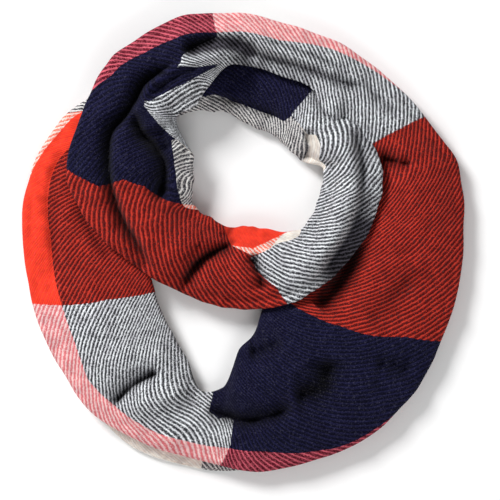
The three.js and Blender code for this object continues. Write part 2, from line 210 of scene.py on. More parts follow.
# The folds that show, in millimetres in plan. Each has the turns it belongs to, its line, its
# depth (below nought for a ridge), and its half width to the left and right of the line. Some
# say how dark their shadow is, or how round their profile.
folds = [
    {"turns": (190, 262), "line": [(-131, -162), (-111, -142), (-83, -127)],
     "depth": 21, "left": 9, "right": 3},
    {"turns": (190, 262), "line": [(-120, -170), (-85, -154), (-52, -144)],
     "depth": -6, "left": 9, "right": 11},
    {"turns": (120, 232), "line": [(-181, 95), (-193, 67), (-196, 43), (-193, 14), (-190, -39)],
     "depth": 6, "left": 12, "right": 5},
    {"turns": (150, 232), "line": [(-168, 70), (-160, 30), (-142, 0), (-128, -20)],
     "depth": 6, "left": 9, "right": 7},
    {"turns": (232, 320), "line": [(-38, -163), (-21, -171), (2, -177), (26, -172), (52, -162)],
     "depth": 19, "left": 10, "right": 7, "shadow": 0.9},
    {"turns": (232, 320), "line": [(5, -108), (22, -106), (40, -97)],
     "depth": 10, "left": 9, "right": 7, "shadow": 0.4},
    {"turns": (262, 330), "line": [(84, -112), (82, -138), (70, -146), (50, -150)],
     "depth": 15, "left": 14, "right": 16, "shadow": 1.1},
    {"turns": (262, 330), "line": [(52, -118), (60, -132), (50, -142)],
     "depth": -5, "left": 12, "right": 12},
    {"turns": (300, 396), "line": [(132, -117), (152, -120), (172, -128)],
     "depth": 9, "left": 8, "right": 10},
    {"turns": (300, 396), "line": [(125, -78), (150, -55), (178, -20)],
     "depth": 6, "left": 14, "right": 16, "shadow": 0.4},
    {"turns": (320, 396), "line": [(110, 8), (104, -22), (84, -52), (66, -64)],
     "depth": 15, "left": 11, "right": 7},
    {"turns": (340, 396), "line": [(136, 92), (150, 85), (170, 81)], "depth": 17, "left": 4, "right": 8},
    {"turns": (430, 478), "line": [(-62, 190), (-42, 198), (-25, 201), (-8, 200), (6, 194), (16, 187)],
     "depth": 18, "left": 8, "right": 10, "shadow": 1.6, "round": 2},
    {"turns": (396, 462), "line": [(4, 196), (20, 189), (46, 182), (70, 174), (96, 164), (124, 158)],
     "depth": 17, "left": 3.5, "right": 8, "shadow": 0.8},
    {"turns": (396, 450), "line": [(18, 204), (50, 196), (84, 183), (110, 170)],
     "depth": 5, "left": 3, "right": 5, "shadow": 0.35},
    {"turns": (430, 484), "line": [(-56, 181), (-40, 186), (-10, 186), (12, 179)],
     "depth": -7, "left": 7, "right": 7},
    {"turns": (396, 440), "line": [(10, 180), (40, 170), (66, 160)], "depth": -4, "left": 7, "right": 9},
    {"turns": (396, 430), "line": [(118, 168), (136, 148), (159, 128)], "depth": 8, "left": 5, "right": 8},
    {"turns": (455, 600), "line": [(-60, 186), (-80, 173), (-98, 161), (-108, 143), (-118, 128), (-131, 112),
                                   (-134, 90), (-131, 58), (-119, 24), (-106, 2), (-96, -22), (-88, -38)],
     "depth": 26, "left": 3, "right": 9},
    {"turns": (478, 600), "line": [(-111, 136), (-101, 112), (-89, 99), (-80, 84), (-80, 64), (-84, 40)],
     "depth": 24, "left": 5, "right": 7},
    {"turns": (478, 560), "line": [(-84, 118), (-80, 104), (-74, 92)], "depth": 10, "left": 7, "right": 12},
    {"turns": (455, 520), "line": [(-40, 178), (-60, 170), (-80, 158), (-97, 144)],
     "depth": 9, "left": 7, "right": 4},
    {"turns": (572, 652), "line": [(-8, 1), (-26, -6), (-43, -16), (-56, -32), (-60, -44)],
     "depth": 22, "left": 7, "right": 6, "shadow": 1.1},
    {"turns": (572, 652), "line": [(-18, 17), (-14, 8), (-8, 1)],
     "depth": 5, "left": 4, "right": 5, "shadow": 0.6},
    {"turns": (600, 670), "line": [(7, -8), (13, -21), (17, -33), (22, -46)],
     "depth": 16, "left": 6, "right": 5, "shadow": 0.9},
    {"turns": (590, 640), "line": [(-40, 2), (-62, -6), (-80, -22)], "depth": 7, "left": 6, "right": 6},
    {"turns": (640, 757), "line": [(110, 122), (118, 92), (119, 46), (105, 8), (72, -38)],
     "depth": 19, "left": 9, "right": 6},
    {"turns": (652, 757), "line": [(96, 118), (100, 92), (94, 45), (82, 10)],
     "depth": -5, "left": 11, "right": 11},
    {"turns": (640, 757), "line": [(128, 60), (122, 20), (98, -20)], "depth": 6, "left": 4, "right": 4},
    {"turns": (640, 757), "line": [(125, 34), (114, 6), (98, -17), (79, -40), (60, -55)],
     "depth": 4, "left": 12, "right": 9, "shadow": 0.85},
    {"turns": (320, 396), "line": [(118, 12), (108, -14), (92, -38), (70, -58)],
     "depth": 5, "left": 12, "right": 12, "shadow": 1.0},
    {"turns": (725, 775), "line": [(62, 116), (65, 101), (63, 85)],
     "depth": 10, "left": 9, "right": 2.5, "shadow": 0.45},
    {"turns": (757, 838), "line": [(-39, 148), (-28, 150), (7, 140), (42, 126)],
     "depth": 9, "left": 3, "right": 7},
]

# What all folds share
foldForm = {
    "reach": 3.2,               # in half widths
    "uneven": ((0.18, 9, 1), (0.1, 23, 2)),     # waves along a fold: size, pace and shift
    "endFade": 5,               # how fast a fold ends, and what is left at its end
    "atEnd": 0.12,
    "trough": 1.25,             # profiles, rounder as they grow
    "ridge": 2.0,
    "darkest": 26,              # the depth whose shadow is full
    "shadowWidth": 0.85,
    "shadowEdge": 1.5,
}

rows = np.array(winding["rows"], dtype=float)


def smoothColumn(name, at):
    # a smooth curve through one column of the rows, with no overshoot
    turns, values = rows[:, 0], rows[:, winding["columns"].index(name)]
    slopes = np.diff(values) / np.diff(turns)
    tangents = np.zeros(len(turns))
    both = slopes[:-1] * slopes[1:]
    total = np.where(slopes[:-1] + slopes[1:] == 0, 1, slopes[:-1] + slopes[1:])
    tangents[1:-1] = np.where(both <= 0, 0, 2 * both / total)
    k = np.clip(np.searchsorted(turns, at, side="right") - 1, 0, len(turns) - 2)
    span = turns[k + 1] - turns[k]
    t = (at - turns[k]) / span
    rise = values[k + 1] - values[k]
    start, end = tangents[k] * span, tangents[k + 1] * span
    return values[k] + t * (start + t * (3 * rise - 2 * start - end + t * (start + end - 2 * rise)))


def tableAt(table, at):
    return np.interp(at, [row[0] for row in table], [row[1] for row in table])


def softNoise(x, y, size, seed, waves=5):
    # a few crossed waves with bent fronts, the same on every run
    rng = np.random.default_rng(seed)
    total = np.zeros(np.broadcast(x, y).shape)
    for _ in range(waves):
        angle, phase, bend = rng.uniform(0, 2 * math.pi, 3)
        pitch = size * rng.uniform(0.7, 1.5)
        along = x * math.cos(angle) + y * math.sin(angle)
        side = y * math.cos(angle) - x * math.sin(angle)
        bent = 1.2 * np.sin(2 * math.pi * side / (1.7 * pitch) + bend)
        total += np.sin(2 * math.pi * along / pitch + bent + phase)
    return total / waves


def runAlong(x, y):
    # how far along a line in plan each of its points is
    return np.concatenate([[0], np.cumsum(np.hypot(np.diff(x), np.diff(y)))])


def sectionSteps(x, y, z):
    # the length of each step across each section
    return np.hypot(np.hypot(np.diff(x, axis=1), np.diff(y, axis=1)), np.diff(z, axis=1))


def runAcross(steps):
    return np.hstack([np.zeros((len(steps), 1)), np.cumsum(steps, axis=1)])


def sectionPlan(turn, across):
    # turn (n, 1) and distance inwards from the outer rail (n, m) to x and y
    slide = smoothColumn("slide", turn)
    radius = smoothColumn("outer", turn) - across
    angle = np.radians(turn)
    x = winding["secondMiddle"][0] * slide + radius * np.cos(angle)
    y = winding["secondMiddle"][1] * slide + radius * np.sin(angle)
    return x, y


def turnsBetween(start, end, samples=400):
    # turns evenly spaced along the middle of the strand, and its length
    fine = np.linspace(start, end, samples)[:, None]
    half = (smoothColumn("outer", fine) - smoothColumn("inner", fine)) / 2
    x, y = sectionPlan(fine, half)
    run = runAlong(x[:, 0], y[:, 0])
    count = max(8, int(run[-1] / cloth["sectionStep"]))
    return np.interp(np.linspace(0, run[-1], count + 1), run, fine[:, 0]), run[-1]


def runTo(turn):
    # length of the strand's middle up to a turn, so that the wales run on over the seams
    return turnsBetween(rows[0, 0], turn)[1] if turn > rows[0, 0] else 0.0


def smoothLine(points, steps=14):
    # a smooth line through a fold's few points
    p = np.array([points[0]] + list(points) + [points[-1]], dtype=float)
    t = np.linspace(0, 1, steps, endpoint=False)[:, None]
    bits = []
    for a, b, c, d in zip(p[:-3], p[1:-2], p[2:-1], p[3:]):
        bits.append(0.5 * (2 * b + (c - a) * t + (2 * a - 5 * b + 4 * c - d) * t ** 2
                           + (3 * b - a - 3 * c + d) * t ** 3))
    return np.vstack(bits + [p[-1:]])


def fromLine(item, turn, x, y, reach):
    # distance from a line on the cloth, the share along it and the side, where the turns allow
    line = smoothLine(item["line"])
    length = runAlong(line[:, 0], line[:, 1])
    low, high = line.min(axis=0) - reach, line.max(axis=0) + reach
    near = (x > low[0]) & (x < high[0]) & (y > low[1]) & (y < high[1])
    near &= (turn >= item["turns"][0]) & (turn <= item["turns"][1])
    away, share, side = np.full(x.shape, 1e6), np.zeros(x.shape), np.zeros(x.shape)
    if not near.any():
        return away, share, side
    px, py = x[near], y[near]
    nearest, part, left = np.full(px.shape, 1e6), np.zeros(px.shape), np.zeros(px.shape)
    for k in range(len(line) - 1):
        a, d = line[k], line[k + 1] - line[k]
        u = np.clip(((px - a[0]) * d[0] + (py - a[1]) * d[1]) / (d @ d), 0, 1)
        dx, dy = px - a[0] - u * d[0], py - a[1] - u * d[1]
        distance = np.hypot(dx, dy)
        closer = distance < nearest
        nearest = np.where(closer, distance, nearest)
        part = np.where(closer, (length[k] + u * (length[k + 1] - length[k])) / length[-1], part)
        left = np.where(closer, d[0] * dy - d[1] * dx, left)
    away[near], share[near], side[near] = nearest, part, left
    return away, share, side


def foldHeight(turn, x, y):
    # the height of all folds, and the painted shade that each point gets from their creases
    height, paintedShade = np.zeros(x.shape), np.zeros(x.shape)
    for number, fold in enumerate(folds):
        reach = foldForm["reach"] * max(fold["left"], fold["right"])
        away, share, side = fromLine(fold, turn, x, y, reach)
        width = np.where(side > 0, fold["left"], fold["right"])
        uneven = 1.0
        for size, pace, shift in foldForm["uneven"]:
            uneven = uneven + size * np.sin(pace * share + shift * number)
        fade = np.clip(np.minimum(share, 1 - share) * foldForm["endFade"] + foldForm["atEnd"], 0, 1)
        fade = fade * fade * (3 - 2 * fade)
        profile = fold.get("round", foldForm["trough"] if fold["depth"] > 0 else foldForm["ridge"])
        height -= fold["depth"] * uneven * fade * np.exp(-(away / width) ** profile)
        # painted shade along each crease: as dark as its shadow value, or its depth, gives
        shadow = fold.get("shadow", max(0, fold["depth"]) / foldForm["darkest"])
        shadowWidth = foldForm["shadowWidth"] * width
        paintedShade += shadow * fade * np.exp(-(away / shadowWidth) ** foldForm["shadowEdge"])
    return height, np.clip(paintedShade, 0, 1)


# What is already laid, as heights on a fine grid in plan, in millimetres. reach and blur: how far
# around it the cloth on top is held up, and how often that is smoothed.
grid = {"low": -262.0, "cell": 2.0, "count": 262, "reach": 8, "blur": 4}


def emptyGround():
    return np.zeros((grid["count"], grid["count"]))


def layDown(ground, x, y, z):
    last = grid["count"] - 1
    column = np.clip(((x - grid["low"]) / grid["cell"]).round().astype(int), 0, last)
    row = np.clip(((y - grid["low"]) / grid["cell"]).round().astype(int), 0, last)
    np.maximum.at(ground, (row.ravel(), column.ravel()), z.ravel())


def shifted(ground, up, right):
    return np.roll(np.roll(ground, up, axis=0), right, axis=1)


def softened(ground):
    # the highest ground within reach, then rounded off
    for _ in range(int(grid["reach"] / grid["cell"])):
        beside = [shifted(ground, a, b) for a, b in ((1, 0), (-1, 0), (0, 1), (0, -1))]
        ground = np.maximum.reduce([ground] + beside)
    for _ in range(grid["blur"]):
        ground = (2 * ground + shifted(ground, 1, 0) + shifted(ground, -1, 0)
                  + shifted(ground, 0, 1) + shifted(ground, 0, -1)) / 6
    return ground


def groundAt(ground, x, y):
    fx = np.clip((x - grid["low"]) / grid["cell"], 0, grid["count"] - 1.001)
    fy = np.clip((y - grid["low"]) / grid["cell"], 0, grid["count"] - 1.001)
    i, j = fx.astype(int), fy.astype(int)
    u, v = fx - i, fy - j
    return ((ground[j, i] * (1 - u) + ground[j, i + 1] * u) * (1 - v)
            + (ground[j + 1, i] * (1 - u) + ground[j + 1, i + 1] * u) * v)


def softMax(a, b, width=3.0):
    # the higher of two, rounded where they meet
    return 0.5 * (a + b + np.sqrt((a - b) ** 2 + width ** 2)) - 0.5 * width


def smoothAlong(values, turns):
    # runs an edge's height smoothly along the strand
    weights = np.exp(-((turns[:, None] - turns[None, :]) / cloth["baseSmoothing"]) ** 2)
    return (weights @ values) / weights.sum(axis=1)


def edgeWaver(turn, edge):
    noise = softNoise(turn * edge["stretch"], 0 * turn + edge["shift"], edge["size"], edge["seed"])
    return cloth["waver"] * noise


def layersShow(turn):
    # 1 where the layers below show beyond the top fold, at the front
    return np.exp(-((turn - layers["showAt"]) / layers["showReach"]) ** 4)


def edgeCurve(height, base, railAt, inwards):
    # the cloth turned under at one edge, from beneath out to the rail and up to the top
    roll = cloth["roll"]
    thick = np.clip(height - base - cloth["layersBelow"], cloth["thinnestEdge"], cloth["edgeThickness"])
    thick = np.maximum(cloth["thinnestRoll"], np.minimum(thick, height - base - cloth["edgeClearance"]))
    angles = np.radians(np.linspace(0, 180, cloth["rollPoints"] + 1))[None, :-1]
    d = roll - roll * np.sin(angles) ** cloth["rollShape"]
    z = height - thick / 2 - thick / 2 * np.cos(angles)
    tuck = np.linspace(1, 0, cloth["tuckPoints"] + 1)[None, :-1]
    d = np.hstack([roll + cloth["turnUnder"] * tuck + 0 * height, d + 0 * height])
    z = np.hstack([height - thick + 0 * tuck, z])
    return railAt + inwards * d, z, thick


def strandSections(turns, ground):
    # the cloth on top at each turn: its section points, and what its colours and layers need
    turn = turns[:, None]
    outer, inner = smoothColumn("outer", turn), smoothColumn("inner", turn)
    showing = layersShow(turn)
    first = cloth["setBack"] * showing - edgeWaver(turn, cloth["outerEdge"]) * (1 - showing)
    last = outer - inner + edgeWaver(turn, cloth["innerEdge"])
    roll = cloth["roll"]
    share = np.linspace(0, 1, cloth["acrossTop"])[None, :]
    across = first + roll + (last - first - 2 * roll) * share
    x, y = sectionPlan(turn, across)
    under = groundAt(ground, x, y)
    topOuter, crown, topInner = (smoothColumn(name, turn) for name in ("topOuter", "crown", "topInner"))
    rise = crown - (topOuter + topInner) / 2
    top = topOuter + (topInner - topOuter) * share + rise * np.sin(math.pi * share) ** cloth["crownShape"]
    for height, size, seed in cloth["undulations"]:
        top = top + height * softNoise(x, y, size, seed)
    foldNow, paintedShade = foldHeight(turn, x, y)
    top = top + foldNow
    edgeSpan = np.linspace(0, roll + cloth["turnUnder"] + cloth["baseBeyond"], cloth["basePoints"])[None, :]
    bases = []
    for distances in (first + edgeSpan, last - edgeSpan):
        ex, ey = sectionPlan(turn, distances)
        bases.append(smoothAlong(groundAt(ground, ex, ey).max(axis=1), turns)[:, None])
    for base, away in ((bases[0], across - first), (bases[1], last - across)):
        beyond = np.maximum(0, away - roll - cloth["turnUnder"])
        top = softMax(top, base + cloth["cover"] + cloth["edgeCover"] - cloth["coverFall"] * beyond)
    top = softMax(top, np.where(under > cloth["leastGround"], under + cloth["cover"], 0))

    outerAcross, outerZ, outerThick = edgeCurve(top[:, :1], bases[0], first, 1)
    innerAcross, innerZ, innerThick = edgeCurve(top[:, -1:], bases[1], last, -1)
    allAcross = np.hstack([outerAcross, across, innerAcross[:, ::-1]])
    z = np.hstack([outerZ, top, innerZ[:, ::-1]])
    x, y = sectionPlan(turn, allAcross)
    return {
        "turns": turns, "x": x, "y": y, "z": z, "across": allAcross, "width": outer - inner,
        "first": first, "last": last, "bases": bases, "thick": (outerThick, innerThick),
        "edgeTops": (top[:, :1], top[:, -1:]), "ground": ground,
        # the painted crease shade, carried on over the rolled edges
        "paintedShade": np.hstack([paintedShade[:, :1] + 0 * outerAcross, paintedShade, paintedShade[:, -1:] + 0 * innerAcross]),
    }


def checkRuns(s, run):
    # distances over the cloth from where the red warp ends and from where the white one begins
    edgeLine = tableAt(check["edgeLine"], s["turns"])
    whiteLine = s["width"][:, 0] - tableAt(check["whiteLine"], s["turns"])
    outerRail, innerRail = s["across"].argmin(axis=1), s["across"].argmax(axis=1)
    fromEdge, fromWhite = np.empty_like(run), np.empty_like(run)
    for k in range(len(run)):
        a, b = outerRail[k], innerRail[k] + 1
        ahead, distance = s["across"][k, a:b], run[k, a:b]
        edgeAt = np.interp(edgeLine[k], ahead, distance) + min(0, edgeLine[k] - ahead[0])
        whiteAt = np.interp(whiteLine[k], ahead, distance) + max(0, whiteLine[k] - ahead[-1])
        fromEdge[k] = run[k] - edgeAt
        fromWhite[k] = run[k] - whiteAt
    return fromEdge, fromWhite


def weftRun(s, turn):
    # the distance along the weft's blocks, with the tucks that show cloth from further along
    shareNow = np.clip(s["across"] / s["width"], 0, 1)
    turnsAt = [np.interp(shareNow, check["shares"], row) for row in check["weftTurns"]]
    blocks = np.zeros(shareNow.shape)
    for low, high in zip(turnsAt[:-1], turnsAt[1:]):
        blocks += np.clip((turn - low) / (high - low), 0, 1)
    further = np.zeros(blocks.shape)
    for tuck in check["tucks"]:
        away, share, _ = fromLine(tuck, turn, s["x"], s["y"], 2 * max(tuck["widths"]))
        width = np.interp(share, np.linspace(0, 1, len(tuck["widths"])), tuck["widths"])
        further = np.maximum(further, tuck["further"] * np.exp(-(away / width) ** check["tuckEdge"]))
    return blocks * check["block"] + further


def waleRuns(s, turn, start):
    # distances across and along the strand for the twill's wales, turned where the cloth is stretched
    mx, my = (values.ravel() for values in sectionPlan(turn, s["width"] / 2))
    along = (runAlong(mx, my) + start)[:, None] + 0 * s["x"]
    across = runAcross(np.abs(np.diff(s["across"], axis=1)))
    for part in check["turned"]:
        dx, dy = s["x"] - part["middle"][0], s["y"] - part["middle"][1]
        lean = math.radians(part.get("lean", 0))
        u, v = dx * math.cos(lean) + dy * math.sin(lean), dy * math.cos(lean) - dx * math.sin(lean)
        near = np.exp(-((u / part["reach"][0]) ** 2 + (v / part["reach"][1]) ** 2) ** part.get("core", 1))
        near = near * np.clip((turn - part["turns"][0]) / check["turnedFade"], 0, 1)
        near = near * np.clip((part["turns"][1] - turn) / check["turnedFade"], 0, 1)
        along -= near * part["along"] * (along - runTo(part["at"]))
        across -= near * part["across"] * (across - check["turnedAbout"])
    return across, along


def clothCoordinates(s, start):
    # the UV maps: places on the cloth, in the check and in the twill, and the painted shade of the creases,
    # from their depth and shadow
    turn = s["turns"][:, None]
    run = runAcross(sectionSteps(s["x"], s["y"], s["z"]))
    fromEdge, fromWhite = checkRuns(s, run)
    roseWidth = tableAt(check["roseWidth"], s["turns"])[:, None]
    fromEdge = np.where(fromEdge < 0, fromEdge * check["roseFull"] / roseWidth, fromEdge)
    red = fromWhite - tableAt(check["whiteWidth"], s["turns"])[:, None]
    return {"Cloth": (fromEdge, weftRun(s, turn)), "Check": (fromWhite, red),
            "Twill": waleRuns(s, turn, start), "Fold": (s["paintedShade"] * 1000, 0 * run)}


def sheetObject(name, places, maps):
    # a grid primitive shaped to the points of its sections, with its cloth coordinates as UV maps
    x, y, z = places
    sections, points = x.shape
    bpy.ops.object.select_all(action="DESELECT")
    bpy.ops.mesh.primitive_grid_add(x_subdivisions=points - 1, y_subdivisions=sections - 1, size=1)
    piece = bpy.context.active_object
    piece.name = name
    mesh = piece.data
    middleX, middleY = winding["footprintMiddle"]
    inPart = np.stack([(x - middleX) * mm, (y - middleY) * mm, z * mm], axis=-1).reshape(-1, 3)
    mesh.vertices.foreach_set("co", inPart.astype(np.float32).ravel())
    corners = np.empty(len(mesh.loops), dtype=np.int32)
    mesh.loops.foreach_get("vertex_index", corners)
    while mesh.uv_layers:
        mesh.uv_layers.remove(mesh.uv_layers[0])
    for mapName, (u, v) in maps.items():
        layer = mesh.uv_layers.new(name=mapName)
        pairs = np.stack([u * mm, v * mm], axis=-1).reshape(-1, 2)[corners]
        layer.uv.foreach_set("vector", pairs.astype(np.float32).ravel())
    mesh.update()
    middle = points // 2
    up = sum(mesh.polygons[k * (points - 1) + middle].normal.z for k in range(0, sections - 1, 5))
    return piece, up


def finishSheet(piece, flipped, thickness):
    # turns the sheet's faces outwards if need be, and gives it its thickness
    bpy.ops.object.select_all(action="DESELECT")
    piece.select_set(True)
    bpy.context.view_layer.objects.active = piece
    if flipped:
        bpy.ops.object.mode_set(mode="EDIT")
        bpy.ops.mesh.select_all(action="SELECT")
        bpy.ops.mesh.flip_normals()
        bpy.ops.object.mode_set(mode="OBJECT")
    wall = piece.modifiers.new("wall", "SOLIDIFY")
    wall.thickness = thickness * mm
    wall.offset = -1
    bpy.ops.object.modifier_apply(modifier=wall.name)
    bpy.ops.object.shade_smooth_by_angle(angle=math.radians(cloth["smoothAngle"]))
    piece.select_set(False)


def meshArea(piece):
    areas = np.empty(len(piece.data.polygons), dtype=np.float32)
    piece.data.polygons.foreach_get("area", areas)
    return float(areas.sum())


# Materials
class Socket:
    # wraps a shader socket so that sums are written as plain expressions
    def __init__(self, tree, link):
        self.tree, self.link = tree, link

    def math(self, operation, other=None, swap=False):
        values = [v for v in (self, other) if v is not None]
        if swap:
            values.reverse()
        return self.tree.node("ShaderNodeMath", {"operation": operation}, dict(enumerate(values)))

    def __add__(self, other): return self.math("ADD", other)
    def __radd__(self, other): return self.math("ADD", other)
    def __sub__(self, other): return self.math("SUBTRACT", other)
    def __rsub__(self, other): return self.math("SUBTRACT", other, swap=True)
    def __mul__(self, other): return self.math("MULTIPLY", other)
    def __rmul__(self, other): return self.math("MULTIPLY", other)
    def __truediv__(self, other): return self.math("DIVIDE", other)
    def __rtruediv__(self, other): return self.math("DIVIDE", other, swap=True)
    def __gt__(self, other): return self.math("GREATER_THAN", other)
    def __lt__(self, other): return self.math("LESS_THAN", other)


class Tree:
    def __init__(self, name):
        self.material = bpy.data.materials.new(name)
        self.material.use_nodes = True
        self.nodes, self.links = self.material.node_tree.nodes, self.material.node_tree.links
        self.nodes.clear()

    def node(self, kind, settings, values, output=0):
        made = self.nodes.new(kind)
        for key, value in settings.items():
            setattr(made, key, value)
        for key, value in values.items():
            if isinstance(value, Socket):
                self.links.new(value.link, made.inputs[key])
            else:
                made.inputs[key].default_value = value
        return Socket(self, made.outputs[output]) if made.outputs else None

    # a colour Mix node's sockets are its factor, 0, its colours, 6 and 7, and its result, 2
    def mix(self, factor, a, b):
        return self.node("ShaderNodeMix", {"data_type": "RGBA"}, {0: factor, 6: a, 7: b}, 2)

    def multiply(self, a, b):
        settings = {"data_type": "RGBA", "blend_type": "MULTIPLY"}
        return self.node("ShaderNodeMix", settings, {0: 1, 6: a, 7: b}, 2)

    def soft(self, value, low, high):
        return self.node("ShaderNodeMapRange", {"interpolation_type": "SMOOTHSTEP"},
                         {"Value": value, "From Min": low, "From Max": high})

    def mapParts(self, mapName):
        # both coordinates of one of the cloth's UV maps
        place = self.node("ShaderNodeUVMap", {"uv_map": mapName}, {})
        u = self.node("ShaderNodeSeparateXYZ", {}, {0: place})
        return u, Socket(self, u.link.node.outputs[1])


def shade(red, green, blue):
    # a screen colour as the shader's linear one
    linear = [v / 255 / 12.92 if v / 255 <= 0.04045 else ((v / 255 + 0.055) / 1.055) ** 2.4
              for v in (red, green, blue)]
    return (*linear, 1)


twill = {
    "yarn": 1.32,               # mm from one yarn to the next
    # for each weft and warp, the weft's shade and the warp's where they float
    # in solid navy the warp's lighter shade is painted light on the raised wales, and the weft's darker one
    # painted shade; both are the same navy yarn
    ("navy", "navy"): (shade(8, 8, 27), shade(27, 27, 60)),
    ("navy", "rose"): (shade(84, 8, 26), shade(208, 92, 108)),
    ("navy", "cream"): (shade(20, 20, 40), shade(246, 245, 242)),
    ("orange", "navy"): (shade(207, 61, 46), shade(76, 6, 12)),
    ("orange", "rose"): (shade(252, 70, 42), shade(248, 60, 44)),
    ("orange", "cream"): (shade(250, 110, 80), shade(252, 226, 216)),
    ("white", "navy"): (shade(247, 251, 255), shade(7, 9, 21)),
    ("white", "rose"): (shade(251, 212, 210), shade(222, 106, 112)),
    ("white", "cream"): (shade(250, 240, 226), shade(254, 250, 240)),
    # the clouds that make it uneven: scale, detail and roughness
    "drift": (45, 2, 0.55), "waver": (230, 2, 0.55), "nap": (1500, 3, 0.7), "fleck": (620, 2, 0.55),
    "mottle": (85, 4, 0.6),
    "bend": (3.6, 2.2),         # mm that drift and waver bend the wales
    # a wale's edge: its range, and how yarns, nap and flecks break it up
    "waleEdge": (0.40, 0.60), "yarnInEdge": 0.4, "napInEdge": 0.5, "fleckInEdge": 2.0,
    "pureShades": 0.94,         # how far the two shades stay apart
    "raggedWeft": (2, 0.5), "raggedWarp": 1.6,
    # painted shade in the furrows between wales: their width, how dark where colours cross and where plain,
    # and its colour
    "furrowWidth": 0.22, "crossedFurrowShade": 0.45, "plainFurrowShade": 0.2, "dark": shade(8, 6, 16),
    "plain": (1, 1, 1, 1), "inMottle": (0.72, 0.7, 0.72, 1), "mottleRange": (0.3, 0.7),
    # the colour that the painted shade in the creases darkens the cloth towards
    "paintedShadeColour": (0.12, 0.11, 0.13, 1),
    "fibre": shade(236, 232, 230), "fibres": 0.035, "napInFibres": 0.4, "fibreRange": (0.72, 1.0),
    "reliefOf": {"wale": 1.1, "yarn": 0.16, "nap": 0.6}, "relief": 0.8, "reliefDepth": 0.0007,
    "roughness": 0.95, "sheen": 0.02, "sheenRoughness": 0.6, "specular": 0.05,
}


def twillMaterial():
    tree = Tree("brushed twill")
    across, along = (value * 1000 for value in tree.mapParts("Cloth"))
    white, red = (value * 1000 for value in tree.mapParts("Check"))
    waleAcross, waleAlong = (value * 1000 for value in tree.mapParts("Twill"))
    paintedCreaseShade = tree.mapParts("Fold")[0]
    place = tree.node("ShaderNodeTexCoord", {}, {}, 3)

    def cloud(name):
        scale, detail, rough = twill[name]
        return tree.node("ShaderNodeTexNoise", {}, {
            "Vector": place, "Scale": scale, "Detail": detail, "Roughness": rough})

    def yarns(value):
        return (value * (2 * math.pi / twill["yarn"])).math("SINE")

    drift, waver, nap, fleck, mottle = (cloud(name) for name in ("drift", "waver", "nap", "fleck", "mottle"))
    bent = (drift - 0.5) * twill["bend"][0] + (waver - 0.5) * twill["bend"][1]
    # wales: two warp yarns over two weft yarns, stepping one yarn at a time
    phase = ((waleAcross + waleAlong + bent) / (4 * twill["yarn"])).math("FRACT")
    wave = (phase - 0.5).math("ABSOLUTE") * 2
    bead = yarns(waleAcross) * yarns(waleAlong + bent * 0.5)
    over = tree.soft(wave + bead * twill["yarnInEdge"] + (nap - 0.5) * twill["napInEdge"]
                     + (fleck - 0.5) * twill["fleckInEdge"], *twill["waleEdge"])
    # checks: three wefts in turn along the cloth, and the warp's columns across it
    ragged = along + (waver - 0.5) * twill["raggedWeft"][0] + bead * twill["raggedWeft"][1]
    third = (ragged / (3 * check["block"])).math("FRACT") * 3
    columns = across + (waver - 0.5) * twill["raggedWarp"]
    isOrange, isWhite = (third > 1) * (third < 2), third > 2
    isRose = ((columns < 0) * (columns > -check["roseFull"])).math("MAXIMUM", red > 0)
    isCream = (columns < -check["roseFull"]).math("MAXIMUM", (white > 0) * (red < 0))

    def crossing(side):
        # the colour that one set of yarns shows where it floats, for each warp and weft
        picked = None
        for weft, mask in (("navy", None), ("orange", isOrange), ("white", isWhite)):
            shown = tree.mix(isRose, twill[weft, "navy"][side], twill[weft, "rose"][side])
            shown = tree.mix(isCream, shown, twill[weft, "cream"][side])
            picked = shown if mask is None else tree.mix(mask, picked, shown)
        return picked

    pure = twill["pureShades"]
    colour = tree.mix(over * pure + (1 - pure) / 2, crossing(0), crossing(1))
    # painted shade in the furrows between the wales, darker where the two colours differ
    fromEdge = (wave - 0.5).math("ABSOLUTE")
    furrowShade = 1 - tree.soft(fromEdge, 0.0, twill["furrowWidth"])
    darkWarp = 1 - isRose.math("MAXIMUM", isCream)
    mixed = (darkWarp - (1 - isOrange - isWhite)).math("ABSOLUTE")
    depth = mixed * twill["crossedFurrowShade"] + twill["plainFurrowShade"]
    colour = tree.mix(furrowShade * depth, colour, twill["dark"])
    uneven = tree.mix(tree.soft(mottle, *twill["mottleRange"]), twill["plain"], twill["inMottle"])
    colour = tree.multiply(colour, uneven)
    # painted shade in the creases, where the folds would shadow the cloth
    colour = tree.multiply(colour, tree.mix(paintedCreaseShade, twill["plain"], twill["paintedShadeColour"]))
    hairs = tree.soft(fleck + nap * twill["napInFibres"], *twill["fibreRange"]) * twill["fibres"]
    colour = tree.mix(hairs, colour, twill["fibre"])
    share = twill["reliefOf"]
    relief = fromEdge * share["wale"] + bead * share["yarn"] + nap * share["nap"]
    bump = tree.node("ShaderNodeBump", {}, {
        "Strength": twill["relief"], "Distance": twill["reliefDepth"], "Height": relief})
    surface = tree.node("ShaderNodeBsdfPrincipled", {}, {
        "Base Color": colour, "Roughness": twill["roughness"], "Normal": bump,
        "Sheen Weight": twill["sheen"], "Sheen Roughness": twill["sheenRoughness"],
        "Specular IOR Level": twill["specular"]})
    tree.node("ShaderNodeOutputMaterial", {}, {"Surface": surface})
    return tree.material


twillCloth = twillMaterial()
print("material made")


def addPiece(name, kind, places, maps, thickness, upwards):
    piece, up = sheetObject(f"{name}_{kind}_twill", places, maps)
    finishSheet(piece, (up < 0) == upwards, thickness)
    piece.data.materials.clear()
    piece.data.materials.append(twillCloth)
    node = f"{name}_{kind}"
    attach(piece, "root")
    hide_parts(node)
    area = meshArea(piece) / 2
    print(f"{piece.name}: {len(piece.data.polygons)} faces, {area:.3f} m2 of cloth")


def addStretch(name, ground):
    turns, length = turnsBetween(*stretches[name])
    s = strandSections(turns, ground)
    maps = clothCoordinates(s, runTo(stretches[name][0]))
    places = s["x"], s["y"], s["z"]
    addPiece(name, "cloth", places, maps, cloth["thickness"], True)
    addLayers(name, s, maps)


